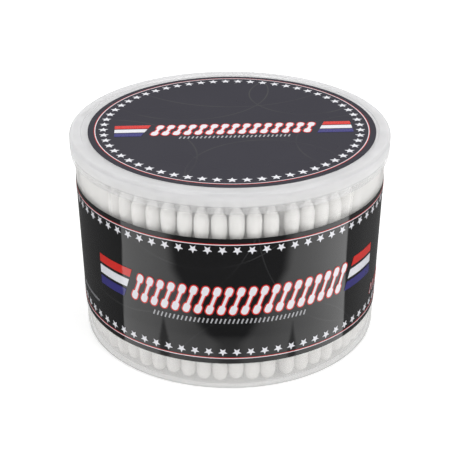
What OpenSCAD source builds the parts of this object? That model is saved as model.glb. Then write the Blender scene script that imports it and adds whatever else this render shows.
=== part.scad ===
// Round tub of cotton swabs: a clear tub with a lift-off lid, a printed wrap label round
// the wall, a printed label on the lid, and swabs that stand upright in rings.
// The origin is at the centre of the foot ring. +Z is up and the front looks along -Y.
// All sizes are in millimetres and all angles in degrees.

/* [Swabs] */
// Diameter of a cotton tip at its widest
tip_d = 5.75; // [5:0.05:6.5]
// Free space between neighbouring tips of one ring
tip_gap = 0.28; // [0.22:0.02:0.8]
// Free space between one ring of tips and the next
ring_gap = 0.37; // [0.3:0.01:0.8]
// Free space between the outer ring and the wall of the tub
wall_gap = 0.1; // [0.05:0.05:1]
// Diameter of the paper stick
stick_d = 2.5; // [2:0.1:3.5]
// Length of the longest swab from end to end
swab_length = 75.5; // [65:0.5:90]
// Most that another swab is shorter than the longest one
length_spread = 0.8; // [0:0.1:1.5]
// Length of the cotton on the pointed upper end
upper_tip_length = 15.6; // [12:0.2:20]
// Length of the cotton on the round lower end
lower_tip_length = 14; // [12:0.2:20]
// Length of stick inside each tip
stick_grip = 8; // [4:0.5:9]
// Thickness of the cotton where it starts on the stick
collar = 0.3; // [0.1:0.05:0.6]
// Length over which the cotton swells from the stick to its full width
shoulder = 3.8; // [1.5:0.1:4.4]
// Diameter of the point of the upper tip
point_d = 1.5; // [1:0.1:2.4]
// Height of the round end of that point
point_round = 0.5; // [0.2:0.1:1]
// Length over which the upper tip narrows to its point
upper_taper = 6.6; // [5:0.1:7.5]
// Length over which the lower tip rounds off
lower_round = 3; // [2:0.1:4]
// Most that a swab's neighbours hold it up off the floor
rise_spread = 1.6; // [0:0.1:1.8]
// Most that a swab stands off its even place in the ring
sway = 0.06; // [0:0.01:0.08]
// Share of a ring's spare length that opens up as one gap
gap_share = 0.75; // [0:0.05:1]
// Direction of the gap in the outer ring, counted from the front to the right
gap_angle = 19; // [-180:1:180]

/* [Tub] */
// Thickness of the side wall
wall = 1.15; // [0.7:0.05:2]
// Thickness of the floor
floor_t = 1.2; // [0.8:0.1:3]
// Height of the floor's underside over the foot ring
foot_recess = 0.4; // [0.2:0.1:1.5]
// Width of the foot ring that the tub stands on
foot_w = 2.6; // [1.5:0.1:6]
// Rounding of the outer edge of the foot
foot_round = 1; // [0.4:0.1:2]
// Rounding between floor and wall inside
floor_round = 1.5; // [0.5:0.1:2]
// Lean of the wall outwards
draft = 1.1; // [0:0.1:2]
// Space between the longest swab and the underside of the lid
headroom = 3.95; // [2:0.05:12]
// Reach of the rim bead past the wall
bead = 0.3; // [0.2:0.05:1]
// Height of the rim bead
bead_h = 2.4; // [1.5:0.1:4]

/* [Lid] */
// Thickness of the lid's panel
panel_t = 1.25; // [0.8:0.05:2.5]
// Height of the lid's raised edge over the label recess
edge_h = 0.4; // [0.2:0.05:1.5]
// Width of the lid's raised edge
edge_w = 4.5; // [3:0.1:8]
// Rounding of the lid's upper edge
edge_round = 1.3; // [0.5:0.1:1.6]
// Depth of the skirt below the panel
skirt_depth = 6.45; // [4:0.05:10]
// Thickness of the skirt
skirt_t = 0.9; // [0.9:0.05:2]
// Height of the bevel at the skirt's foot
bevel_h = 3.1; // [1:0.1:3.5]
// Narrowing of the skirt over that bevel
bevel_w = 0.3; // [0.2:0.05:0.75]
// Space between the rim bead and the inside of the skirt
lid_play = 0.25; // [0.2:0.05:0.8]
// Space between the rim bead and the inner lip at the skirt's foot
lip_play = 0.1; // [0.05:0.05:0.2]
// Height of that inner lip
lip_h = 1; // [0.5:0.1:1.5]

/* [Labels] */
// Thickness of the wrap label's film
film = 0.12; // [0.06:0.02:0.3]
// Thickness of the glue under the film
glue = 0.05; // [0.02:0.01:0.1]
// Height of the wrap label's lower edge over the foot
wrap_z = 11.7; // [6:0.1:20]
// Height of the clear band between the wrap label and the rim
clear_band = 16.55; // [12:0.05:24]
// Thickness of the lid's label
lid_label_t = 0.12; // [0.06:0.02:0.3]
// Bare margin round the lid's label
label_margin = 1.9; // [1.5:0.1:6]
// How far the lid's label is stuck off the middle to the right
lid_label_right = 0.8; // [-1:0.1:1]
// How far it is stuck off the middle to the front
lid_label_front = 0.3; // [-1:0.1:1]
// Thickness of a layer of print
ink = 0.07; // [0.03:0.01:0.1]
// Free space between the wrap label's film and the print on it
ink_gap = 0.03; // [0.02:0.01:0.05]

/* [Print on the wrap label] */
// Number of stars in each row
wrap_stars = 72; // [36:1:80]
// Distance from the label's edge to the middle of a row of stars
wrap_star_inset = 4.85; // [3:0.05:8]
// How far both rows of stars on the wrap lie above the places that their inset gives
wrap_star_rise = 0.3; // [-0.3:0.1:0.3]
// Distance from the label's edge to the double line
wrap_line_inset = 2.2; // [1:0.05:2.4]
// Turn of the picture from the front to the right
picture_turn = 4.6; // [-20:0.1:20]
// Height of the picture's middle over the label's middle
picture_rise = 0.9; // [-5:0.1:5]
// Half length of the row of swab figures between the stripes
figure_half = 44.4; // [20:0.1:46]
// Height of a swab figure
figure_h = 12.4; // [8:0.1:16]
// Number of swab figures
figures = 20; // [5:1:21]
// Length of a stripe
stripe_l = 16.2; // [8:0.1:24]
// Height of a stripe
stripe_h = 3.5; // [2:0.1:4.5]
// Space between stripes
stripe_gap = 1.2; // [0.5:0.1:2]
// Space between the stripes and the row of figures
stripe_clear = 1.2; // [0.5:0.1:4]
// Drop of the line of dashes below the middle of the picture
dashes_drop = 8.6; // [8:0.1:12]
// Half length of the line of dashes
dashes_half = 30; // [10:0.5:40]
// Shift of the line of dashes to the left of the picture's middle
dashes_left = 5; // [-8:0.1:8]
// Number of small swab figures on the right side
side_figures = 9; // [1:1:16]
// Direction of the first small figure, counted from the front to the right
side_figure_angle = 68; // [66:1:90]
// Distance from one small figure to the next
side_figure_pitch = 3.4; // [3:0.1:5]
// Size of a small figure as a share of a large one
side_figure_scale = 0.36; // [0.2:0.02:0.45]
// Height of the small figures' middle over the label's lower edge
side_figure_rise = 10.9; // [9:0.1:14]
// Number of small dashes on the left side
side_dashes = 22; // [5:1:40]
// Direction of the first of them, counted from the front to the left
side_dash_angle = 58; // [56:1:90]
// Size of a small dash as a share of a large one
side_dash_scale = 0.5; // [0.3:0.1:1]

/* [Print on the lid] */
// Number of stars round the lid
lid_stars = 59; // [30:1:64]
// Distance from the lid label's edge to the circle of stars
lid_star_inset = 6; // [4:0.1:10]
// Distance from the lid label's edge to the double line
lid_line_inset = 2.4; // [1:0.1:3.5]
// Turn of the lid's picture to the left
lid_turn = 3.3; // [-180:0.1:180]
// Shift of the lid's picture towards the front
lid_picture_front = 3; // [-10:0.1:10]
// Shift of the lid's picture to the right
lid_picture_right = 0.5; // [-1:0.1:1]
// Half length of the lid's row of swab figures
lid_figure_half = 32.6; // [15:0.1:33]
// Height of a swab figure on the lid
lid_figure_h = 10.8; // [6:0.1:14]
// Number of swab figures on the lid
lid_figures = 15; // [5:1:15]
// Length of a stripe on the lid
lid_stripe_l = 12.1; // [6:0.1:12.5]
// Height of a stripe on the lid
lid_stripe_h = 3.1; // [2:0.1:4]
// Space between stripes on the lid
lid_stripe_gap = 0.7; // [0.4:0.1:2]
// Drop of the lid's line of dashes below the middle of its picture
lid_dashes_drop = 7.6; // [7:0.1:10]
// Half length of the lid's line of dashes
lid_dashes_half = 21; // [10:0.5:30]

/* [Print shapes] */
// Distance from a star's middle to its points on the wrap label
star_r = 1.75; // [1:0.05:2]
// Distance from a star's middle to its points on the lid
lid_star_r = 1.95; // [1:0.05:2.1]
// Share of that distance at a star's inner corners
star_waist = 0.45; // [0.35:0.01:0.6]
// Width of the white part of the double line
white_line = 0.3; // [0.2:0.05:0.8]
// Width of the red part of the double line
red_line = 0.25; // [0.2:0.05:0.6]
// Slant of the figures and of the inner ends of the stripes
slant = 20; // [0:1:30]
// Width of a swab figure's tips
figure_tip_w = 2.5; // [1.6:0.1:2.8]
// Length of a swab figure's tips
figure_tip_l = 3.9; // [3:0.1:5]
// Width of a swab figure's stick
figure_stick_w = 1.1; // [0.8:0.1:1.4]
// Width of the red outline round a figure
outline = 0.45; // [0.2:0.05:0.5]
// Width of a dash
dash_w = 0.55; // [0.3:0.05:1]
// Length of a dash
dash_l = 2.1; // [1:0.1:3]
// Distance from one dash to the next
dash_pitch = 1.6; // [1.4:0.1:3]

/* [Hidden] */
RINGS = 10;
RING_NUMBERS = [for (k = [1 : RINGS]) k];

tip_r = tip_d / 2;
stick_r = stick_d / 2;
ring_pitch = tip_d + ring_gap;
floor_z = foot_recess + floor_t;
rim_z = floor_z + swab_length + headroom;
bore_r = (RINGS - 1) * ring_pitch + tip_r + wall_gap;
rim_r = wall_r(rim_z) + bead;
lid_in_r = rim_r + lid_play;
lid_r = lid_in_r + skirt_t;
skirt_z = rim_z - skirt_depth;
panel_z = rim_z + panel_t;
lid_top_z = panel_z + edge_h;
recess_r = lid_r - edge_w;
lid_label_r = recess_r - label_margin;
lid_label_z = panel_z + lid_label_t;
wrap_top_z = rim_z - clear_band;
ink_base = glue + film + ink_gap;
picture_z = (wrap_z + wrap_top_z) / 2 + picture_rise;
side_figure_z = wrap_z + side_figure_rise;
seam_angle = 360 / wrap_stars;
seed = 7;
lean_spread = 0.05;
round_fn = 48;
small_fn = 24;

// Radius of the tub's outside, of its inside and of the wrap label's outside at height z
function wall_r(z) = bore_r + wall + (z - floor_z) * tan(draft);
function inside_r(z) = wall_r(z) - wall;
function label_r(z) = wall_r(z) + glue + film;

// Points on an arc about [x, y] from angle a to angle b
function arc(x, y, r, a, b, steps) =
    [for (i = [0 : steps]) let (t = a + (b - a) * i / steps) [x + r * cos(t), y + r * sin(t)]];

// A ring's radius, the angle that one swab takes up in it, and how many swabs it holds
function ring_r(k) = (RINGS - k) * ring_pitch;
function swab_angle(k) = 2 * asin((tip_d + tip_gap) / 2 / ring_r(k));
function ring_count(k) = k == RINGS ? 1 : floor(360 / swab_angle(k));
function ring_gap_angle(k) = k == RINGS ? 0 : gap_share * (360 - ring_count(k) * swab_angle(k));
function ring_start(k) = gap_angle - 90 + (k - 1) * 137;

// Outline of a tip, from its free end at 0 along the stick, with a blind hole for the stick
function shoulder_points(length) =
    [for (t = [0 : 45 : 90]) [
        stick_r + collar + (tip_r - stick_r - collar) * cos(t),
        length - shoulder + shoulder * sin(t)
    ]];
function hole_points(length) =
    [[stick_r, length], [stick_r, length - stick_grip], [0, length - stick_grip]];
function lower_outline() = concat(
    [[0, 0]],
    [for (t = [30, 60]) [tip_r * sin(t), lower_round * (1 - cos(t))]],
    [[tip_r, lower_round]],
    shoulder_points(lower_tip_length),
    hole_points(lower_tip_length)
);
function upper_outline() = concat(
    [[0, 0]],
    [for (t = [0 : 1 / 3 : 1]) [
        point_d / 2 + (tip_r - point_d / 2) * (1 - cos(180 * t)) / 2,
        point_round + (upper_taper - point_round) * t
    ]],
    shoulder_points(upper_tip_length),
    hole_points(upper_tip_length)
);

// One swab's pieces, standing on z = 0. $short is how much shorter this swab is.
module stick() {
    start = lower_tip_length - stick_grip;
    end = swab_length - $short - upper_tip_length + stick_grip;
    translate([0, 0, start]) cylinder(r = stick_r, h = end - start, $fn = small_fn);
}

module upper_tip() {
    translate([0, 0, swab_length - $short])
        mirror([0, 0, 1])
            rotate_extrude($fn = small_fn) polygon(upper_outline());
}

module lower_tip() {
    rotate_extrude($fn = small_fn) polygon(lower_outline());
}

// Places one piece of every swab of ring k. A swab leans outwards with the wall.
module ring(k) {
    n = ring_count(k);
    short = rands(0, length_spread, n, seed + k);
    rise = [for (share = rands(0, 1, n, seed + 4 * RINGS + k)) rise_spread * pow(share, 3)];
    inwards = rands(-sway, 0, n, seed + RINGS + k);
    aside = rands(-sway, sway, n, seed + 2 * RINGS + k);
    lean_aside = rands(-lean_spread, lean_spread, n, seed + 3 * RINGS + k);
    step = (360 - ring_gap_angle(k)) / n;
    for (i = [0 : n - 1]) {
        $short = short[i];
        rotate([0, 0, ring_start(k) + ring_gap_angle(k) / 2 + (i + 0.5) * step])
            translate([ring_r(k) + inwards[i], aside[i], floor_z + rise[i]])
                rotate([lean_aside[i], draft * ring_r(k) / ring_r(1), 0])
                    children();
    }
}

module ring_sticks(k) {
    color("ivory") ring(k) stick();
}

module ring_upper_tips(k) {
    color("white") ring(k) upper_tip();
}

module ring_lower_tips(k) {
    color("white") ring(k) lower_tip();
}

// Tub: recessed floor on a foot ring, leaning wall, and a bead round the rim
module tub() {
    foot_r = wall_r(foot_round);
    corner_r = inside_r(floor_z + floor_round) - floor_round;
    bead_z = rim_z - bead_h;
    color([0.88, 0.9, 0.9, 0.5])
        rotate_extrude($fn = round_fn * 3)
            polygon(concat(
                [[0, foot_recess], [foot_r - foot_round - foot_w - foot_recess, foot_recess]],
                [[foot_r - foot_round - foot_w, 0]],
                arc(foot_r - foot_round, foot_round, foot_round, -90, 0, 5),
                [[wall_r(bead_z - bead), bead_z - bead], [rim_r, bead_z + bead]],
                arc(rim_r - bead, rim_z - bead, bead, 0, 90, 4),
                [[inside_r(rim_z) + wall / 4, rim_z], [inside_r(rim_z - wall / 4), rim_z - wall / 4]],
                arc(corner_r, floor_z + floor_round, floor_round, 0, -90, 5),
                [[0, floor_z]]
            ));
}

// Lid: panel with a raised edge round the label, and a skirt with an inner lip at its foot
module lid() {
    bevel_z = skirt_z + bevel_h;
    lip_r = rim_r + lip_play;
    lip_z = skirt_z + lip_h;
    lip_slope = lid_play - lip_play;
    foot_mid = (lip_r + lid_r - bevel_w) / 2;
    color([0.9, 0.91, 0.92, 0.5])
        rotate_extrude($fn = round_fn * 3)
            polygon(concat(
                [[0, panel_z], [recess_r, panel_z], [recess_r + edge_h / 2, lid_top_z]],
                arc(lid_r - edge_round, lid_top_z - edge_round, edge_round, 90, 0, 6),
                [[lid_r, bevel_z], [lid_r - bevel_w, skirt_z + edge_h / 2], [foot_mid, skirt_z]],
                [[lip_r, skirt_z + edge_h / 2], [lip_r, lip_z], [lid_in_r, lip_z + lip_slope]],
                [[lid_in_r, rim_z], [0, rim_z]]
            ));
}

// Part of a skin on the leaning wall between two heights and two distances over the wall
module wall_band(z0, z1, from, to, angle = 360) {
    rotate_extrude(angle = angle, $fn = round_fn * 3)
        polygon([
            [wall_r(z0) + from, z0],
            [wall_r(z0) + to, z0],
            [wall_r(z1) + to, z1],
            [wall_r(z1) + from, z1]
        ]);
}

// Wrap label: one turn of film with its end lapped over its start at the back
module wrap_label() {
    color([0.11, 0.11, 0.12])
        union() {
            wall_band(wrap_z, wrap_top_z, glue, glue + film);
            rotate([0, 0, 90])
                wall_band(wrap_z, wrap_top_z, glue + film / 2, glue + 2 * film, seam_angle);
        }
}

module lid_label() {
    color([0.29, 0.29, 0.31])
        translate([lid_label_right, -lid_label_front, panel_z])
            cylinder(r = lid_label_r, h = lid_label_t, $fn = round_fn * 3);
}

// Flat print shapes
module star_shape(r) {
    polygon([for (i = [0 : 9]) r * (i % 2 == 0 ? 1 : star_waist) * [sin(36 * i), cos(36 * i)]]);
}

// A slanted swab of height h. grow widens it all round.
module figure_shape(h, grow = 0) {
    tip_w = figure_tip_w + 2 * grow;
    straight = figure_tip_l - figure_tip_w;
    tip_y = (h - figure_tip_l) / 2;
    rotate(-slant) {
        square([figure_stick_w + 2 * grow, 2 * tip_y], center = true);
        for (side = [-1, 1], end = [-1, 1]) {
            translate([0, side * tip_y + end * straight / 2]) circle(d = tip_w, $fn = small_fn);
        }
        for (side = [-1, 1]) {
            translate([0, side * tip_y]) square([tip_w, straight], center = true);
        }
    }
}

// The red outline that surrounds figure_shape
module figure_outline_shape(h) {
    difference() {
        figure_shape(h, outline);
        figure_shape(h);
    }
}

module dash_shape() {
    rotate(-slant) square([dash_w, dash_l], center = true);
}

// Length of a slanted figure whose upright height is h
function figure_length(h) = figure_tip_w + (h - figure_tip_w) / cos(slant);

// Height of the middle of stripe i over the picture's middle: 0 red, 1 white, 2 blue
function stripe_y(i, h, gap) = (1 - i) * (h + gap);

// One stripe with an upright outer end. side is -1 on the left and 1 on the right.
module stripe_shape(i, side, inner, outer, h, gap) {
    low = stripe_y(i, h, gap) - h / 2;
    high = low + h;
    polygon([
        [side * inner + low * tan(slant), low],
        [side * outer, low],
        [side * outer, high],
        [side * inner + high * tan(slant), high]
    ]);
}

// Places flat print on the wrap label at an angle right of the front, facing outwards
module on_wrap(angle, z, lift = 0) {
    rotate([0, 0, angle])
        translate([0, -wall_r(z) - ink_base - lift, z])
            rotate([90 + draft, 0, 0])
                children();
}

function wrap_degrees(length) = length / label_r(picture_z) * 180 / PI;

// Presses the children, placed as flat prints, into a layer of print on the wrap label
module wrap_layer() {
    reach = figure_h;
    intersection() {
        wall_band(picture_z - reach, picture_z + reach, ink_base, ink_base + ink);
        union() children();
    }
}

// A cutter with the given flat shape that reaches through the layer of print
module wrap_cutter(along, z = picture_z) {
    depth = 2;
    on_wrap(picture_turn + wrap_degrees(along), z)
        translate([0, 0, -depth])
            linear_extrude(2 * depth)
                children();
}

module wrap_stripe(i) {
    inner = figure_half + stripe_clear;
    middle = inner + stripe_l / 2;
    wrap_layer()
        for (side = [-1, 1]) {
            wrap_cutter(side * middle)
                translate([-side * middle, 0])
                    stripe_shape(i, side, inner, inner + stripe_l, stripe_h, stripe_gap);
        }
}

module wrap_figures(outlined) {
    h = figure_length(figure_h - 2 * outline);
    room = figure_half - figure_h / 2 * tan(slant) - figure_tip_w / 2;
    wrap_layer()
        for (i = [0 : figures - 1]) {
            wrap_cutter(room * (2 * i / (figures - 1) - 1)) {
                if (outlined) figure_outline_shape(h);
                else figure_shape(h);
            }
        }
}

// A printed line round the whole label. Over the lapped end it lies one film higher.
module wrap_line(z0, width) {
    rotate([0, 0, 90 + seam_angle])
        wall_band(z0, z0 + width, ink_base, ink_base + ink, 360 - seam_angle);
    rotate([0, 0, 90])
        wall_band(z0, z0 + width, ink_base + film, ink_base + film + ink, seam_angle);
}

wrap_line_heights = [wrap_z + wrap_line_inset, wrap_top_z - wrap_line_inset - white_line];
wrap_star_heights = [
    wrap_z + wrap_star_inset + wrap_star_rise,
    wrap_top_z - wrap_star_inset + wrap_star_rise
];

// A row of small figures or outlines on the right side
module wrap_side_figures(outlined) {
    h = figure_length(figure_h - 2 * outline);
    for (i = [0 : side_figures - 1]) {
        on_wrap(side_figure_angle + wrap_degrees(i * side_figure_pitch), side_figure_z)
            linear_extrude(ink)
                scale([side_figure_scale, side_figure_scale]) {
                    if (outlined) figure_outline_shape(h);
                    else figure_shape(h);
                }
    }
}

module wrap_dashes(first, last, start, z, size) {
    for (i = [first : last]) {
        on_wrap(start + wrap_degrees(i * dash_pitch * size), z)
            linear_extrude(ink)
                scale([size, size])
                    dash_shape();
    }
}

module wrap_white_print() {
    color("white") {
        for (z = wrap_line_heights) {
            wrap_line(z, white_line);
        }
        for (z = wrap_star_heights, i = [0 : wrap_stars - 1]) {
            angle = 180 + (i + 0.5) * seam_angle;
            on_wrap(angle, z, i == 0 ? film : 0) linear_extrude(ink) rotate(180) star_shape(star_r);
        }
        wrap_stripe(1);
        wrap_figures(false);
        wrap_side_figures(false);
    }
}

module wrap_red_print() {
    color([0.83, 0.17, 0.16]) {
        for (z = wrap_line_heights) {
            wrap_line(z + white_line, red_line);
        }
        wrap_stripe(0);
        wrap_figures(true);
        wrap_side_figures(true);
    }
}

module wrap_blue_print() {
    color([0.2, 0.18, 0.47]) wrap_stripe(2);
}

module wrap_grey_print() {
    half = floor(dashes_half / dash_pitch);
    middle = picture_turn - wrap_degrees(dashes_left);
    color([0.75, 0.75, 0.77]) {
        wrap_dashes(-half, half, middle, picture_z - dashes_drop, 1);
        wrap_dashes(1 - side_dashes, 0, -side_dash_angle, side_figure_z, side_dash_scale);
    }
}

// Makes a flat print on the lid's label
module on_lid() {
    translate([lid_label_right, -lid_label_front, lid_label_z])
        linear_extrude(ink)
            children();
}

// Turns and shifts what belongs to the lid's picture
module in_lid_picture() {
    rotate(lid_turn)
        translate([lid_picture_right, -lid_picture_front])
            children();
}

module lid_line(r, width) {
    difference() {
        circle(r = r + width, $fn = round_fn * 3);
        circle(r = r, $fn = round_fn * 3);
    }
}

module lid_stripe(i) {
    inner = lid_figure_half + stripe_clear;
    in_lid_picture()
        for (side = [-1, 1]) {
            stripe_shape(i, side, inner, inner + lid_stripe_l, lid_stripe_h, lid_stripe_gap);
        }
}

module lid_figures_row(outlined) {
    h = figure_length(lid_figure_h - 2 * outline);
    room = lid_figure_half - lid_figure_h / 2 * tan(slant) - figure_tip_w / 2;
    in_lid_picture()
        for (i = [0 : lid_figures - 1]) {
            translate([room * (2 * i / (lid_figures - 1) - 1), 0]) {
                if (outlined) figure_outline_shape(h);
                else figure_shape(h);
            }
        }
}

lid_line_r = lid_label_r - lid_line_inset - red_line - white_line;

module lid_white_print() {
    star_circle = lid_label_r - lid_star_inset;
    color("white")
        on_lid() {
            lid_line(lid_line_r, white_line);
            for (i = [0 : lid_stars - 1]) {
                a = i * 360 / lid_stars;
                translate(star_circle * [sin(a), -cos(a)]) star_shape(lid_star_r);
            }
            lid_stripe(1);
            lid_figures_row(false);
        }
}

module lid_red_print() {
    color([0.83, 0.17, 0.16])
        on_lid() {
            lid_line(lid_line_r + white_line, red_line);
            lid_stripe(0);
            lid_figures_row(true);
        }
}

module lid_blue_print() {
    color([0.2, 0.18, 0.47]) on_lid() lid_stripe(2);
}

module lid_grey_print() {
    half = floor(lid_dashes_half / dash_pitch);
    color([0.75, 0.75, 0.77])
        on_lid()
            in_lid_picture()
                for (i = [-half : half]) {
                    translate([i * dash_pitch, -lid_dashes_drop]) dash_shape();
                }
}

tub();
lid();
wrap_label();
lid_label();
wrap_white_print();
wrap_red_print();
wrap_blue_print();
wrap_grey_print();
lid_white_print();
lid_red_print();
lid_blue_print();
lid_grey_print();
for (k = RING_NUMBERS) {
    ring_sticks(k);
    ring_upper_tips(k);
    ring_lower_tips(k);
}
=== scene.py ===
"""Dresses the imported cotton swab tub: wound cotton, paper sticks, clear plastic, printed films, and a small
photo stage. All lengths in this file are metres, unless a name or a unit says otherwise."""

import math

import bpy
import numpy as np
from bpy.props import FloatProperty, FloatVectorProperty, IntProperty, PointerProperty
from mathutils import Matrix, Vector


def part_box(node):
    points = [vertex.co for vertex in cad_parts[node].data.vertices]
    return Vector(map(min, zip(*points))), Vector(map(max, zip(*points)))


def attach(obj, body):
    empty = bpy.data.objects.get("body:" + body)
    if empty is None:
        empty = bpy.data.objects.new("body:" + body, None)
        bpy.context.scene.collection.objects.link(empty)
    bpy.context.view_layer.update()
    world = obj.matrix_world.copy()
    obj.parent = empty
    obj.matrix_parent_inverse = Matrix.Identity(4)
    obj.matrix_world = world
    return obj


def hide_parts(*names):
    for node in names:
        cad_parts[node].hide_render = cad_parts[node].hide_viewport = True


bl_info = {
    "name": "Cotton swab tub",
    "version": (1, 0, 0),
    "blender": (4, 5, 0),
    "location": "View3D > Sidebar > Swab tub",
    "description": "Finishes a tub of cotton swabs: cotton, plastic, labels, print and a photo stage",
    "category": "Object",
}

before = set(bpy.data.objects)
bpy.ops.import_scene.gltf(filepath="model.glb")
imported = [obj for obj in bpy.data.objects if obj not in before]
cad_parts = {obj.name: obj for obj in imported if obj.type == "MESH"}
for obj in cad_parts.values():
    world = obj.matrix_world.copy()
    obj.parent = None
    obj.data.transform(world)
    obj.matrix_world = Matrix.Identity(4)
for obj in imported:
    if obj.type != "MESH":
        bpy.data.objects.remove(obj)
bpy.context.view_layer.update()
MM = 0.001
RINGS = sum(name.endswith("_sticks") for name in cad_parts)
LABEL_LOW, LABEL_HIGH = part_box("wrap_label")
LID_LOW, LID_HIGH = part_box("lid")
LABEL_R = -LABEL_LOW.y
STICK_PITCH = 6 * MM
MIDDLE_STICK_REACH = 2 * MM


def colour(name, description, default):
    return FloatVectorProperty(
        name=name, description=description, subtype="COLOR", size=3, min=0, max=1, default=default
    )


def number(name, description, default, **limits):
    return FloatProperty(name=name, description=description, default=default, **limits)


def length(name, description, default):
    return number(name, description, default, subtype="DISTANCE", unit="LENGTH", min=0)


def share(name, description, default):
    return number(name, description, default, subtype="FACTOR", min=0, max=1)


def angle(name, description, degrees):
    return number(name, description, math.radians(degrees), subtype="ANGLE", unit="ROTATION")


class CottonSettings(bpy.types.PropertyGroup):
    """The wound tips and the paper sticks."""

    tip_width: length("Tip width", "Width of a tip where it is fullest", 5.93 * MM)
    upper_length: length("Upper tip length", "Length of the pointed tips", 15.6 * MM)
    lower_length: length("Lower tip length", "Length of the rounded tips", 14 * MM)
    grip: length("Grip", "Length of stick inside a tip", 8 * MM)
    stick_width: length("Stick width", "Width of a paper stick", 2.5 * MM)
    sides: IntProperty(name="Sides", description="Faces round a tip", min=6, max=24, default=10)
    lumps: share("Lumps", "Unevenness of the winding, as a share of the tip's radius", 0.045)
    cotton: colour("Cotton", "Colour of the cotton", (0.9, 0.892, 0.875))
    paper: colour("Paper", "Colour of the sticks", (0.9, 0.89, 0.86))


class PlasticSettings(bpy.types.PropertyGroup):
    """The clear tub and the milky lid."""

    tub_colour: colour("Tub colour", "Colour of the tub's haze", (0.93, 0.92, 0.905))
    tub_haze: share("Tub haze", "Share of light that one surface of the upper wall scatters", 0.09)
    low_haze: share("Low haze", "Share of light that one surface of the lower wall scatters", 0.21)
    rim_haze: share("Rim haze", "What the thick rim of the tub adds to the upper wall", 0.1)
    clear_gloss: share("Clear gloss", "Share of light that a clear surface mirrors", 0.035)
    low_gloss: share("Low gloss", "What the lower wall adds to the clear gloss", 0.05)
    # Painted shade: the tub is drawn darker over its lowest 2 mm, along the line where it stands on the
    # floor.
    foot_shade: share("Foot tint", "How much darker the thick foot of the tub is", 0.16)
    lid_colour: colour("Lid colour", "Colour of the haze in the lid's skirt", (0.96, 0.96, 0.965))
    # Painted shade: the haze on the lid's upper side is a darker copy of the skirt's haze, so the top reads
    # greyer than the skirt.
    shaded_top_colour: colour("Lid top colour", "Colour of the haze in the lid's upper side", (0.84, 0.84, 0.85))
    bevel_haze: share("Bevel haze", "Share of light that one surface of the lid's bevel scatters", 0.2)
    skirt_haze: share("Skirt haze", "Share of light that one surface of the lid's skirt scatters", 0.46)
    panel_haze: share("Panel haze", "Share of light that the lid's upper side scatters", 0.62)
    edge_haze: share("Edge haze", "What a view along a surface adds to its haze", 0.85)
    edge_gloss: share("Edge gloss", "What a view along a surface adds to its gloss", 0.2)
    edge_tint: share("Edge tint", "How much darker a surface is at its outline", 0.2)
    most_haze: share("Most haze", "Most that a surface of the lower wall or the bevel scatters", 0.23)


class FilmSettings(bpy.types.PropertyGroup):
    """The two printed films."""

    wrap_colour: colour("Wrap colour", "Colour of the wrap film", (0.0045, 0.0045, 0.005))
    back: colour("Film back", "Colour of the back of the wrap film", (0.85, 0.85, 0.84))
    lid_colour: colour("Lid film colour", "Colour of the lid's film", (0.021, 0.0195, 0.03))
    arc_colour: colour("Arc colour", "Colour of the faint printed arcs", (0.022, 0.022, 0.023))
    arc_width: length("Arc width", "Width of a printed arc", 0.35 * MM)
    white: colour("White ink", "Colour of the white print", (0.76, 0.76, 0.8))
    red: colour("Red ink", "Colour of the red print", (0.62, 0.022, 0.016))
    blue: colour("Blue ink", "Colour of the blue print", (0.03, 0.026, 0.17))
    grey: colour("Grey ink", "Colour of the grey print", (0.4, 0.4, 0.42))


class StageSettings(bpy.types.PropertyGroup):
    """Camera, floor and light."""

    camera_distance: length("Camera distance", "Camera to the tub's axis, along the floor", 419.8 * MM)
    camera_height: length("Camera height", "Camera over the floor", 254.9 * MM)
    camera_pitch: angle("Camera pitch", "How far the camera looks down", 27.513)
    lens: number("Lens", "Focal length", 90.98, unit="CAMERA")
    middle_right: number("Middle right", "Photo's middle right of the lens axis, in photo widths", 0.0003)
    middle_up: number("Middle up", "Photo's middle over the lens axis, in photo widths", 0.00224)
    floor: colour("Floor", "Colour of the floor", (0.92, 0.92, 0.92))
    glow: number("Glow", "Strength of the light cards that the label mirrors", 2.2, min=0)
    world_light: number("World light", "Strength of the white surroundings as a lamp", 0.44, min=0)
    lamp_light: number("Lamp light", "Strength of the softboxes", 0.5, min=0)


class SwabTubSettings(bpy.types.PropertyGroup):
    """All settings of the tub."""

    cotton: PointerProperty(type=CottonSettings)
    plastic: PointerProperty(type=PlasticSettings)
    film: PointerProperty(type=FilmSettings)
    stage: PointerProperty(type=StageSettings)


# Mesh helpers


def mesh_object(name, points, faces, smooth=True):
    """Makes an object at the origin from an array of points and a list of face arrays (quads, triangles)."""
    mesh = bpy.data.meshes.new(name)
    corners = np.concatenate([f.ravel() for f in faces]).astype(np.int32)
    sizes = np.concatenate([np.full(len(f), f.shape[1]) for f in faces]).astype(np.int32)
    mesh.vertices.add(len(points))
    mesh.vertices.foreach_set("co", points.astype(np.float32).ravel())
    mesh.loops.add(len(corners))
    mesh.loops.foreach_set("vertex_index", corners)
    mesh.polygons.add(len(sizes))
    mesh.polygons.foreach_set("loop_start", np.concatenate([[0], np.cumsum(sizes)[:-1]]).astype(np.int32))
    mesh.update(calc_edges=True)
    mesh.polygons.foreach_set("use_smooth", np.full(len(sizes), smooth))
    mesh.validate()
    obj = bpy.data.objects.new(name, mesh)
    bpy.context.scene.collection.objects.link(obj)
    return obj


def node_points(name):
    """The points of a CAD node as an array."""
    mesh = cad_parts[name].data
    points = np.empty(len(mesh.vertices) * 3, np.float32)
    mesh.vertices.foreach_get("co", points)
    return points.reshape(-1, 3).astype(float)


def label_lean():
    """The angle by which the front of the wrap label leans outwards, from its lower and upper edge."""
    points = node_points("wrap_label")
    near = 0.1 * MM
    front = points[points[:, 1] < 0]
    radius = np.hypot(front[:, 0], front[:, 1])
    low = radius[front[:, 2] < LABEL_LOW.z + near].max()
    high = radius[front[:, 2] > LABEL_HIGH.z - near].max()
    return math.atan2(high - low, LABEL_HIGH.z - LABEL_LOW.z)


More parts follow.
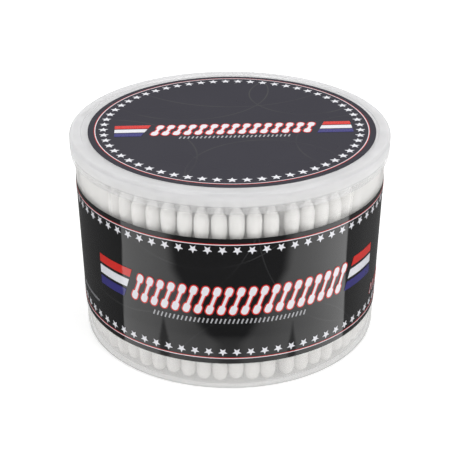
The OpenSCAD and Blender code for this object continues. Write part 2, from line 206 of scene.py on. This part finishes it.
def stick_ends(ring):
    """Lower and upper end of each stick's axis in a ring. The sticks stand apart, so the points sorted by
    their direction from the tub's axis fall into one group a stick, with a gap between groups. A stick has
    points at its two ends only, so an end is the middle of the box round those below or above the mean
    height."""
    points = node_points(f"ring_{ring}_sticks")
    middle = points[:, 2].mean()
    radius = np.hypot(points[:, 0], points[:, 1])
    if radius.min() < MIDDLE_STICK_REACH:
        groups = [points]
    else:
        turn = np.arctan2(points[:, 1], points[:, 0])
        order = np.argsort(turn)
        gaps = np.diff(turn[order], append=turn[order[0]] + 2 * np.pi)
        wide = np.flatnonzero(gaps > 0.4 * STICK_PITCH / radius.max())
        start = wide[-1] + 1
        order = np.roll(order, -start)
        cuts = (wide[:-1] + 1 - start) % len(order)
        groups = np.split(points[order], np.sort(cuts))
    lower = [g[g[:, 2] < middle] for g in groups]
    upper = [g[g[:, 2] > middle] for g in groups]
    return tuple(np.array([(g.max(0) + g.min(0)) / 2 for g in half]) for half in (lower, upper))


def tips(name, ends, inwards, profile, lumps, sides, rng):
    """A group of wound tips. Each is a round profile turned about its stick: a point lies at height h over
    the free end and at radius r(h) times 1 - lumps * w, where w is a wave of two and three periods round
    the tip whose phase turns with height, by twist radians over the tip. ends are the free ends and inwards
    the unit vectors towards the sticks. The profile's first and last points lie on the axis and close the
    surface. winding holds the turn and the height in millimetres, with a start of its own for each tip."""
    twist, starts = 2.5, 50
    count, rows = len(ends), len(profile) - 2
    heights, radii = np.array(profile).T
    turn = np.arange(sides) * 2 * np.pi / sides
    side = np.cross(inwards, [0.0, 1.0, 0.0])
    side /= np.linalg.norm(side, axis=1)[:, None]
    across = np.cross(inwards, side)
    phase = rng.uniform(0, 2 * np.pi, (count, 3, 1, 1))
    along = heights[1:-1][None, :, None] / heights[-1] * twist
    wave = np.cos(2 * turn + phase[:, 0] + along) + 0.6 * np.cos(3 * turn - phase[:, 1] - 2 * along)
    wave = 0.5 + 0.3 * wave + 0.2 * np.cos(phase[:, 2] + 2 * along)
    radius = radii[1:-1][None, :, None] * (1 - lumps * np.clip(wave, 0, 1.2))
    h = heights[1:-1][None, :, None, None]
    ring = (
        ends[:, None, None] + h * inwards[:, None, None]
        + (radius * np.cos(turn))[..., None] * side[:, None, None]
        + (radius * np.sin(turn))[..., None] * across[:, None, None]
    )
    poles = ends[:, None] + heights[[0, -1]][None, :, None] * inwards[:, None]
    points = np.concatenate([ring.reshape(count, -1, 3), poles], 1)
    i, j = np.meshgrid(np.arange(rows - 1), np.arange(sides), indexing="ij")
    after = (j + 1) % sides
    quads = np.stack([i * sides + j, i * sides + after, (i + 1) * sides + after, (i + 1) * sides + j], -1)
    j = np.arange(sides)
    after = (j + 1) % sides
    last = (rows - 1) * sides
    first_cap = np.stack([after, j, np.full(sides, rows * sides)], -1)
    last_cap = np.stack([last + j, last + after, np.full(sides, rows * sides + 1)], -1)
    shift = (np.arange(count) * (rows * sides + 2))[:, None, None]
    quads = (quads.reshape(1, -1, 4) + shift).reshape(-1, 4)
    caps = (np.concatenate([first_cap, last_cap])[None] + shift).reshape(-1, 3)
    obj = mesh_object(name, points.reshape(-1, 3), [quads, caps])
    v = np.concatenate([np.repeat(heights[1:-1], sides), heights[[0, -1]]])
    u = np.concatenate([np.tile(turn / (2 * np.pi), rows), [0.5, 0.5]])
    own = np.repeat(rng.uniform(0, starts, count), len(u))
    winding = np.stack([np.tile(u, count) + own, np.tile(v, count) / MM, np.zeros(count * len(u))], -1)
    attribute = obj.data.attributes.new("winding", "FLOAT_VECTOR", "POINT")
    attribute.data.foreach_set("vector", winding.astype(np.float32).ravel())
    return obj


# Material helpers


class Surface:
    """A new material and short ways to add nodes to it."""

    def __init__(self, name):
        self.material = bpy.data.materials.new(name)
        self.material.use_nodes = True
        self.tree = self.material.node_tree
        self.tree.nodes.clear()
        self.output = self.node("ShaderNodeOutputMaterial")

    def node(self, kind, inputs=None, **settings):
        node = self.tree.nodes.new(kind)
        for key, value in settings.items():
            setattr(node, key, value)
        for key, value in (inputs or {}).items():
            self.put(node.inputs[key], value)
        return node

    def put(self, socket, value):
        """Links another node's output to a socket, or sets the socket to a number or colour."""
        if isinstance(value, bpy.types.NodeSocket):
            self.tree.links.new(value, socket)
        elif socket.type == "RGBA" and len(value) == 3:
            socket.default_value = (*value, 1)
        else:
            socket.default_value = value

    def math(self, operation, a, b=0.0, clamp=False):
        node = self.node("ShaderNodeMath", {0: a, 1: b}, operation=operation, use_clamp=clamp)
        return node.outputs[0]

    def place(self):
        return self.node("ShaderNodeTexCoord").outputs["Object"]

    def axes(self):
        split = self.node("ShaderNodeSeparateXYZ", {0: self.place()})
        return split.outputs

    def noise(self, vector, scale, detail=2.0, stretch=(1, 1, 1), roughness=0.5):
        moved = self.node("ShaderNodeMapping", {"Vector": vector, "Scale": stretch})
        node = self.node(
            "ShaderNodeTexNoise",
            {"Vector": moved.outputs[0], "Scale": scale, "Detail": detail, "Roughness": roughness},
        )
        return node.outputs["Fac"]

    def band(self, value, low, high, out_low=0.0, out_high=1.0):
        """out_low below low, out_high above high, and a smooth step between them."""
        node = self.node(
            "ShaderNodeMapRange",
            {"Value": value, "From Min": low, "From Max": high, "To Min": out_low, "To Max": out_high},
            interpolation_type="SMOOTHSTEP",
        )
        return node.outputs[0]

    def blend(self, factor, a, b):
        """Colour a at factor 0 and colour b at factor 1."""
        node = self.node("ShaderNodeMix", data_type="RGBA")
        self.put(node.inputs["Factor"], factor)
        self.put(node.inputs[6], a)
        self.put(node.inputs[7], b)
        return node.outputs[2]

    def bump(self, height, distance, strength=1.0):
        node = self.node("ShaderNodeBump", {"Height": height, "Distance": distance, "Strength": strength})
        return node.outputs[0]

    def mix(self, factor, a, b):
        node = self.node("ShaderNodeMixShader", {0: factor, 1: a, 2: b})
        return node.outputs[0]

    def show(self, shader):
        self.tree.links.new(shader, self.output.inputs["Surface"])
        return self.material


def dress(name, material):
    """Gives a CAD node one material."""
    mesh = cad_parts[name].data
    mesh.materials.clear()
    mesh.materials.append(material)


def cotton_material(base):
    """Matt cotton: bands and streaks that follow the winding, fine fuzz and soft sheen."""
    s = Surface("wound cotton")
    winding = s.node("ShaderNodeAttribute", attribute_name="winding").outputs["Vector"]
    strands = s.noise(winding, scale=1.0, detail=3.0, stretch=(2.0, 1.6, 1.0), roughness=0.6)
    fuzz = s.noise(s.place(), scale=2200, detail=3.0)
    tone = s.blend(s.band(strands, 0.3, 0.7), tuple(c * 0.93 for c in base), base)
    height = s.math("ADD", s.math("MULTIPLY", strands, 0.7), s.math("MULTIPLY", fuzz, 0.3))
    shader = s.node("ShaderNodeBsdfPrincipled", {
        "Base Color": tone,
        "Roughness": s.band(fuzz, 0.2, 0.8, 0.85, 1.0),
        "Normal": s.bump(height, distance=0.25 * MM, strength=0.6),
        "Specular IOR Level": 0.15,
        "Sheen Weight": 0.15,
        "Sheen Roughness": 0.6,
    })
    return s.show(shader.outputs[0])


def paper_material(base):
    """Rolled paper with faint fibres along the stick."""
    s = Surface("rolled paper")
    fibres = s.noise(s.place(), scale=900, detail=3.0, stretch=(1, 1, 0.2))
    tone = s.blend(s.band(fibres, 0.3, 0.7), tuple(c * 0.94 for c in base), base)
    shader = s.node("ShaderNodeBsdfPrincipled", {
        "Base Color": tone,
        "Roughness": s.band(fibres, 0.3, 0.7, 0.7, 0.85),
        "Normal": s.bump(fibres, distance=0.05 * MM, strength=0.5),
        "Specular IOR Level": 0.3,
    })
    return s.show(shader.outputs[0])


def plastic_material(name, look, roughness, streaks):
    """Clear moulded plastic. Light goes straight through, apart from a share that the haze scatters and a
    share that the surface mirrors. look gives the haze's colour, both shares and how much darker the plastic
    is. The colour comes from z, the rest from z and facing, which is 0 face on and 1 along a surface."""
    s = Surface(name)
    facing = s.node("ShaderNodeLayerWeight", {"Blend": 0.5}).outputs["Facing"]
    base, haze, mirrored, dim = look(s, s.axes()[2], facing)
    flow = s.noise(s.place(), scale=60, detail=3.0, stretch=streaks)
    haze = s.math("MULTIPLY", haze, s.band(flow, 0.25, 0.75, 0.92, 1.08), clamp=True)
    normal = s.bump(flow, distance=0.1 * MM, strength=0.15)
    # dim darkens the haze and the see-through colour. On the tub it holds the painted shade at the foot as
    # well as the darker outline.
    base = s.blend(dim, base, (0, 0, 0))
    scatter = s.mix(
        0.5,
        s.node("ShaderNodeBsdfDiffuse", {"Color": base}).outputs[0],
        s.node("ShaderNodeBsdfTranslucent", {"Color": base}).outputs[0],
    )
    through = s.blend(dim, (0.99, 0.99, 0.99), (0, 0, 0))
    clear = s.node("ShaderNodeBsdfTransparent", {"Color": through}).outputs[0]
    shine = {"Color": (1, 1, 1), "Roughness": roughness, "Normal": normal}
    gloss = s.node("ShaderNodeBsdfGlossy", shine).outputs[0]
    return s.show(s.mix(mirrored, s.mix(haze, clear, scatter), gloss))


def arcs(s, across, up, circles, width):
    """Faint print lines: 1 where a point of the film lies within width of one of the circles."""
    lines = None
    for x, y, radius in circles:
        dx = s.math("SUBTRACT", across, x)
        dy = s.math("SUBTRACT", up, y)
        reach = s.math("SQRT", s.math("ADD", s.math("MULTIPLY", dx, dx), s.math("MULTIPLY", dy, dy)))
        off = s.math("ABSOLUTE", s.math("SUBTRACT", reach, radius))
        line = s.band(off, width / 2, width, 1.0, 0.0)
        lines = line if lines is None else s.math("MAXIMUM", lines, line)
    return lines


def film_material(name, base, back, arc_colour, width, circles, roughness, specular):
    """Printed film with faint arcs. On the wrap, a point's place is its angle times the radius, and z, and
    its back, where the normal points to the tub's axis, has a colour of its own. The lid's film has an
    even satin gloss instead of a clear one: specular is then the share of light that it mirrors."""
    s = Surface(name)
    x, y, z = s.axes()
    if back:
        turn = s.math("ARCTAN2", x, s.math("MULTIPLY", y, -1.0))
        across, up = s.math("MULTIPLY", turn, LABEL_R), z
        normal = s.node("ShaderNodeTexCoord").outputs["Normal"]
        outwards = s.node("ShaderNodeCombineXYZ", {0: x, 1: y}).outputs[0]
        along = s.node("ShaderNodeVectorMath", {0: normal, 1: outwards}, operation="DOT_PRODUCT")
        base = s.blend(s.band(along.outputs["Value"], -0.5 * LABEL_R, -0.4 * LABEL_R), back, base)
    else:
        across, up = x, y
    lines = arcs(s, across, up, circles, width)
    patches = s.noise(s.place(), scale=45)
    lines = s.math("MULTIPLY", lines, s.band(patches, 0.35, 0.65, 0.15, 0.9))
    tone = s.blend(lines, base, arc_colour)
    rough = s.band(patches, 0.2, 0.8, roughness * 0.8, roughness * 1.2)
    normal = s.bump(s.noise(s.place(), scale=26, detail=1.0), distance=0.3 * MM, strength=0.1)
    if back:
        shader = s.node("ShaderNodeBsdfPrincipled", {
            "Base Color": tone, "Roughness": rough, "Specular IOR Level": specular, "Normal": normal,
        })
        return s.show(shader.outputs[0])
    matt = s.node("ShaderNodeBsdfDiffuse", {"Color": tone}).outputs[0]
    satin = s.node("ShaderNodeBsdfGlossy", {"Roughness": rough, "Normal": normal}).outputs[0]
    return s.show(s.mix(specular, matt, satin))


def ink_material(name, base, roughness, specular):
    """A layer of ink: even colour with a slight mottle."""
    s = Surface(name)
    mottle = s.noise(s.place(), scale=1500)
    shader = s.node("ShaderNodeBsdfPrincipled", {
        "Base Color": s.blend(s.band(mottle, 0.3, 0.7), tuple(c * 0.94 for c in base), base),
        "Roughness": s.band(mottle, 0.3, 0.7, roughness * 0.8, roughness * 1.2),
        "Specular IOR Level": specular,
    })
    return s.show(shader.outputs[0])


# Operators


class SWABTUB_OT_cotton(bpy.types.Operator):
    """Winds the cotton tips round the sticks of every ring"""

    bl_idname = "swabtub.cotton"
    bl_label = "Cotton tips"

    def execute(self, context):
        c = context.scene.swab_tub.cotton
        r, neck = c.tip_width / 2, c.stick_width / 2 + 0.3 * MM
        up, low = c.upper_length, c.lower_length
        upper = [
            (0, 0), (0.35 * MM, 0.27 * r), (3.2 * MM, 0.5 * r), (5.6 * MM, 0.9 * r), (7.6 * MM, r),
            (up - 4.6 * MM, r), (up - 2.2 * MM, 0.93 * r), (up - 0.8 * MM, 0.74 * r),
            (up - 0.1 * MM, neck), (up, 0),
        ]
        lower = [
            (0, 0), (0.25 * MM, 0.42 * r), (1.3 * MM, 0.83 * r), (3 * MM, r),
            (low - 3.8 * MM, r), (low - 1.1 * MM, 0.86 * r), (low - 0.1 * MM, neck), (low, 0),
        ]
        material = cotton_material(tuple(c.cotton))
        rng = np.random.default_rng(11)
        for ring in range(1, RINGS + 1):
            bottom, top = stick_ends(ring)
            axis = top - bottom
            axis /= np.linalg.norm(axis, axis=1)[:, None]
            upper_ends = top + (up - c.grip) * axis
            lower_ends = bottom - (low - c.grip) * axis
            for kind, ends, inwards, profile in (
                ("upper", upper_ends, -axis, upper),
                ("lower", lower_ends, axis, lower),
            ):
                piece = tips(f"ring_{ring}_{kind}_cotton", ends, inwards, profile, c.lumps, c.sides, rng)
                piece.data.materials.append(material)
                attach(piece, "tub")
                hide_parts(f"ring_{ring}_{kind}_tips")
        return {"FINISHED"}


class SWABTUB_OT_sticks(bpy.types.Operator):
    """Gives the sticks their rolled paper"""

    bl_idname = "swabtub.sticks"
    bl_label = "Paper sticks"

    def execute(self, context):
        material = paper_material(tuple(context.scene.swab_tub.cotton.paper))
        for ring in range(1, RINGS + 1):
            dress(f"ring_{ring}_sticks", material)
        return {"FINISHED"}


class SWABTUB_OT_plastic(bpy.types.Operator):
    """Gives the tub its clear plastic and the lid its milky one"""

    bl_idname = "swabtub.plastic"
    bl_label = "Tub and lid"

    def execute(self, context):
        p = context.scene.swab_tub.plastic
        haze_power, gloss_power, tint_power = 2.0, 3.0, 6.0
        low, high = LABEL_LOW.z + 6 * MM, LABEL_HIGH.z - 6 * MM
        bevel_low, bevel_high = LID_LOW.z + 2.6 * MM, LID_LOW.z + 3.6 * MM
        foot_low, foot_high = 0.6 * MM, 1.8 * MM
        panel_low, panel_high = LID_HIGH.z - 4 * MM, LID_HIGH.z - 1 * MM

        def edge(s, facing, power, amount, base):
            """base face on, rising by amount towards a view along the surface."""
            return s.math("ADD", s.math("MULTIPLY", s.math("POWER", facing, power), amount), base)

        def tub_look(s, z, facing):
            haze = s.band(z, low, high, p.low_haze, p.tub_haze)
            rim = s.band(z, bevel_low, bevel_high, 0.0, p.rim_haze)
            haze = edge(s, facing, haze_power, p.edge_haze, s.math("ADD", haze, rim))
            haze = s.math("MINIMUM", haze, s.band(z, low, high, p.most_haze, 1.0))
            gloss = s.band(z, low, high, p.clear_gloss + p.low_gloss, p.clear_gloss)
            # Painted shade along the foot, where the tub stands on the floor: haze and see-through colour
            # darken over the lowest 2 mm.
            foot = s.band(z, foot_low, foot_high, p.foot_shade, 0.0)
            return (
                tuple(p.tub_colour),
                haze,
                edge(s, facing, gloss_power, p.edge_gloss, gloss),
                edge(s, facing, tint_power, p.edge_tint, foot),
            )

        def lid_look(s, z, facing):
            upper = s.band(z, panel_low, panel_high)
            skirt = s.band(z, bevel_low, bevel_high, p.bevel_haze, p.skirt_haze)
            haze = s.math("ADD", skirt, s.math("MULTIPLY", upper, p.panel_haze - p.skirt_haze))
            haze = edge(s, facing, haze_power, p.edge_haze / 2, haze)
            return (
                # The upper side takes the darker haze colour, which is painted shade on the lid's top.
                s.blend(upper, tuple(p.lid_colour), tuple(p.shaded_top_colour)),
                s.math("MINIMUM", haze, s.band(z, bevel_low, bevel_high, p.most_haze, 1.0)),
                edge(s, facing, gloss_power, p.edge_gloss, p.clear_gloss),
                edge(s, facing, tint_power, 2 * p.edge_tint, 0.0),
            )

        dress("tub", plastic_material("clear plastic", tub_look, roughness=0.06, streaks=(1, 1, 0.25)))
        dress("lid", plastic_material("milky plastic", lid_look, roughness=0.12, streaks=(1, 1, 3)))
        return {"FINISHED"}


class SWABTUB_OT_films(bpy.types.Operator):
    """Gives the wrap label and the lid label their printed film"""

    bl_idname = "swabtub.films"
    bl_label = "Label films"

    def execute(self, context):
        f = context.scene.swab_tub.film
        wrap_arcs = [(x * MM, z * MM, r * MM) for x, z, r in (
            (-46, 88, 60), (18, -8, 44), (62, 70, 52), (-12, 104, 52), (120, 4, 58),
            (-128, 66, 46), (170, 92, 62),
        )]
        lid_arcs = [(x * MM, y * MM, r * MM) for x, y, r in (
            (-18, 40, 34), (30, 34, 22), (14, -44, 30), (-48, -30, 36), (52, -16, 27), (0, 70, 50),
        )]
        lid_arc_gain = 2.1
        arc = tuple(f.arc_colour)
        lid_arc = tuple(c * lid_arc_gain for c in arc)
        wrap = film_material(
            "glossy wrap film", tuple(f.wrap_colour), tuple(f.back), arc, f.arc_width, wrap_arcs,
            roughness=0.035, specular=0.5,
        )
        top = film_material(
            "satin lid film", tuple(f.lid_colour), None, lid_arc, f.arc_width, lid_arcs,
            roughness=0.3, specular=0.05,
        )
        dress("wrap_label", wrap)
        dress("lid_label", top)
        return {"FINISHED"}


class SWABTUB_OT_print(bpy.types.Operator):
    """Gives the print on both labels its inks"""

    bl_idname = "swabtub.print"
    bl_label = "Print"

    def execute(self, context):
        f = context.scene.swab_tub.film
        for place, roughness, specular in (("wrap", 0.035, 0.5), ("lid", 0.3, 0.12)):
            for ink in ("white", "red", "blue", "grey"):
                material = ink_material(f"{ink} ink, {place}", tuple(getattr(f, ink)), roughness, specular)
                dress(f"{place}_{ink}_print", material)
        return {"FINISHED"}


def mirrored_floor(eye, turn, height):
    """Where the eye sees the floor in the wrap label: the line of sight to the label at this direction from
    the front and this height, mirrored in the label's leaning face and followed down to the floor."""
    lean = label_lean()
    outwards = np.stack([np.sin(turn), -np.cos(turn), 0 * turn], -1)
    up = np.array([0.0, 0.0, 1.0])
    normal = outwards * math.cos(lean) - up * math.sin(lean)
    radius = LABEL_R - (LABEL_HIGH.z - height) * math.tan(lean)
    place = radius[..., None] * outwards + height[..., None] * up
    sight = place - eye
    sight /= np.linalg.norm(sight, axis=-1)[..., None]
    out = sight - 2 * (sight * normal).sum(-1)[..., None] * normal
    return place - out * (place[..., 2] / out[..., 2])[..., None]


def lamp_turn(towards):
    """The turn that points a lamp along a direction."""
    return Vector(towards).to_track_quat("-Z", "Y").to_euler()


class SWABTUB_OT_stage(bpy.types.Operator):
    """Sets the camera, the pale floor, the soft lamps and the cards that the label mirrors"""

    bl_idname = "swabtub.stage"
    bl_label = "Photo stage"

    def execute(self, context):
        scene, st = context.scene, context.scene.swab_tub.stage
        scene.view_settings.view_transform = "Standard"
        camera = bpy.data.objects.new("camera", bpy.data.cameras.new("camera"))
        camera.data.sensor_width = 36
        camera.data.lens = st.lens
        camera.data.shift_x, camera.data.shift_y = st.middle_right, st.middle_up
        camera.data.clip_start, camera.data.clip_end = 0.02, 20
        camera.location = (0, -st.camera_distance, st.camera_height)
        camera.rotation_euler = (math.pi / 2 - st.camera_pitch, 0, 0)
        scene.collection.objects.link(camera)
        scene.camera = camera
        self.world(scene, st.world_light)
        self.floor(tuple(st.floor))
        self.cards(camera, st.glow)
        aim = np.array([0, 0, 0.04])
        for name, place, size, power in (
            ("left softbox", (-0.64, -0.72, 0.68), 0.7, 6.9),
            ("right softbox", (0.74, -0.62, 0.66), 0.7, 9.6),
            ("top softbox", (0.0, 0.25, 1.2), 0.9, 14.0),
        ):
            lamp = bpy.data.objects.new(name, bpy.data.lights.new(name, "AREA"))
            lamp.data.shape, lamp.data.size = "SQUARE", size
            lamp.data.energy = power * st.lamp_light
            lamp.location = place
            lamp.rotation_euler = lamp_turn(aim - np.array(place))
            lamp.visible_camera = False
            scene.collection.objects.link(lamp)
        return {"FINISHED"}

    def world(self, scene, light):
        """White behind the object for the camera, in mirrors and through plastic, and softer as a lamp."""
        world = bpy.data.worlds.new("white studio")
        world.use_nodes = True
        tree = world.node_tree
        path = tree.nodes.new("ShaderNodeLightPath")
        seen = tree.nodes.new("ShaderNodeMath")
        seen.operation = "MAXIMUM"
        also = tree.nodes.new("ShaderNodeMath")
        also.operation = "MAXIMUM"
        strength = tree.nodes.new("ShaderNodeMapRange")
        strength.inputs["To Min"].default_value = light
        strength.inputs["To Max"].default_value = 1.0
        tree.links.new(path.outputs["Is Camera Ray"], seen.inputs[0])
        tree.links.new(path.outputs["Is Glossy Ray"], seen.inputs[1])
        tree.links.new(seen.outputs[0], also.inputs[0])
        tree.links.new(path.outputs["Is Transmission Ray"], also.inputs[1])
        tree.links.new(also.outputs[0], strength.inputs["Value"])
        background = tree.nodes["Background"]
        background.inputs["Color"].default_value = (1, 1, 1, 1)
        tree.links.new(strength.outputs[0], background.inputs["Strength"])
        scene.world = world

    def floor(self, base):
        """A round pale floor. For the camera and in mirrors it glows a little, and more where the lamps don't
        reach, so that it is white away from the shadow."""
        radius, sides = 6, 96
        near, far = 0.4, 2.0
        near_glow, far_glow = 0.3, 0.62
        turn = np.linspace(0, 2 * np.pi, sides, endpoint=False)
        rim = np.stack([radius * np.cos(turn), radius * np.sin(turn), 0 * turn], -1)
        floor = mesh_object("floor", rim, [np.arange(sides)[None]], smooth=False)
        s = Surface("pale floor")
        path = s.node("ShaderNodeLightPath").outputs
        seen = s.math("MAXIMUM", path["Is Camera Ray"], path["Is Transmission Ray"])
        seen = s.math("MAXIMUM", seen, path["Is Glossy Ray"])
        matt = s.node("ShaderNodeBsdfDiffuse", {"Color": base}).outputs[0]
        x, y, _ = s.axes()
        away = s.math("SQRT", s.math("ADD", s.math("MULTIPLY", x, x), s.math("MULTIPLY", y, y)))
        strength = s.math("MULTIPLY", seen, s.band(away, near, far, near_glow, far_glow))
        glow = s.node("ShaderNodeEmission", {"Color": (1, 1, 1), "Strength": strength})
        both = s.node("ShaderNodeAddShader", {0: matt, 1: glow.outputs[0]})
        floor.data.materials.append(s.show(both.outputs[0]))

    def cards(self, camera, strength):
        """A ring of cards on the floor that only mirrors show, as a photographer lays them round a glossy
        label. Seen in the label, it is bright between a left and a right edge, apart from a funnel in the
        middle and two narrow wedges, and dark elsewhere. All are given as directions from the front, in
        degrees, by height z in millimetres."""
        eye = np.array(camera.location)
        widest, columns, rows = 84, 337, 84
        over_floor = 0.4 * MM
        side_edge, funnel_edge = 0.4, 5
        low, high = LABEL_LOW.z - 1 * MM, LABEL_HIGH.z + 1 * MM
        across, height = np.meshgrid(
            np.linspace(-widest, widest, columns), np.linspace(low, high, rows), indexing="ij"
        )
        points = mirrored_floor(eye, np.radians(across), height) + [0, 0, over_floor]
        z = height / MM
        left = np.interp(z, [18, 54], [42.4, 40.8])
        right = np.interp(z, [16, 49], [46.8, 45.6])
        funnel_left = np.interp(z, [20, 24, 28, 44, 50, 60], [4, 8, 11, 17, 20, 21])
        funnel_right = np.interp(z, [20, 24, 28, 44, 50, 60], [4, 7, 9, 17, 20, 21])
        inside = np.clip(0.5 + np.minimum(across + left, right - across) / side_edge, 0, 1)
        off = np.maximum(across - funnel_right, -across - funnel_left)
        glow = np.clip(0.5 + off / funnel_edge, 0, 1)
        turns = [-43, -29, -19, -10, 10, 19, 29, 37, 46]
        level = np.interp(across, turns, [0.74, 0.75, 0.6, 0.42, 0.4, 0.65, 0.82, 0.97, 1])
        glow = glow * glow * (3 - 2 * glow) * level * np.interp(z, [20, 50], [0.85, 1])
        dark = np.interp(z, [19, 22, 24, 40], [0.28, 0.22, 0.08, 0.1])
        sides = np.interp(across, [-72, -48, 48, 57, 65, 72], [0.048, 0.082, 0.12, 0.11, 0.08, 0.062])
        glow = sides + inside * (dark + (1 - dark) * glow - sides)
        wedge_height, wedge_edge, wedge_depth = 11, 0.9, 0.68
        for middle, top, half in ((-24.2, 30.5, 1.9), (22.8, 27.5, 1.6)):
            wide = half * np.clip((top - z) / wedge_height, 0, 1) ** 1.3 * (1 + 0.12 * np.sin(3.1 * z))
            shade = np.clip(0.5 + (wide - np.abs(across - middle)) / wedge_edge, 0, 1)
            glow *= 1 - wedge_depth * shade * (z < top)
        i, j = np.meshgrid(np.arange(columns - 1), np.arange(rows - 1), indexing="ij")
        a = i * rows + j
        quads = np.stack([a, a + 1, a + rows + 1, a + rows], -1).reshape(-1, 4)
        cards = mesh_object("light cards", points.reshape(-1, 3), [quads])
        attribute = cards.data.attributes.new("glow", "FLOAT", "POINT")
        attribute.data.foreach_set("value", glow.ravel().astype(np.float32))
        s = Surface("card glow")
        stored = s.node("ShaderNodeAttribute", attribute_name="glow").outputs["Fac"]
        light = s.node("ShaderNodeEmission", {"Strength": s.math("MULTIPLY", stored, strength)})
        cards.data.materials.append(s.show(light.outputs[0]))
        cards.visible_camera = cards.visible_diffuse = cards.visible_transmission = False
        cards.visible_shadow = cards.visible_volume_scatter = False


class SWABTUB_PT_panel(bpy.types.Panel):
    """The tub's settings and steps"""

    bl_idname = "SWABTUB_PT_panel"
    bl_label = "Swab tub"
    bl_space_type = "VIEW_3D"
    bl_region_type = "UI"
    bl_category = "Swab tub"

    def draw(self, context):
        settings = context.scene.swab_tub
        for step in STEPS:
            self.layout.operator(step.bl_idname)
        for group in ("cotton", "plastic", "film", "stage"):
            box = self.layout.box()
            box.label(text=group.capitalize())
            values = getattr(settings, group)
            for name in values.bl_rna.properties.keys():
                if name not in ("rna_type", "name"):
                    box.prop(values, name)


STEPS = (
    SWABTUB_OT_stage,
    SWABTUB_OT_cotton,
    SWABTUB_OT_sticks,
    SWABTUB_OT_plastic,
    SWABTUB_OT_films,
    SWABTUB_OT_print,
)
CLASSES = (
    CottonSettings, PlasticSettings, FilmSettings, StageSettings, SwabTubSettings, *STEPS, SWABTUB_PT_panel
)


def register():
    for cls in CLASSES:
        bpy.utils.register_class(cls)
    bpy.types.Scene.swab_tub = PointerProperty(type=SwabTubSettings)


def unregister():
    del bpy.types.Scene.swab_tub
    for cls in reversed(CLASSES):
        bpy.utils.unregister_class(cls)


def main():
    register()
    for step in STEPS:
        group, name = step.bl_idname.split(".")
        getattr(getattr(bpy.ops, group), name)()


if __name__ == "__main__":
    main()
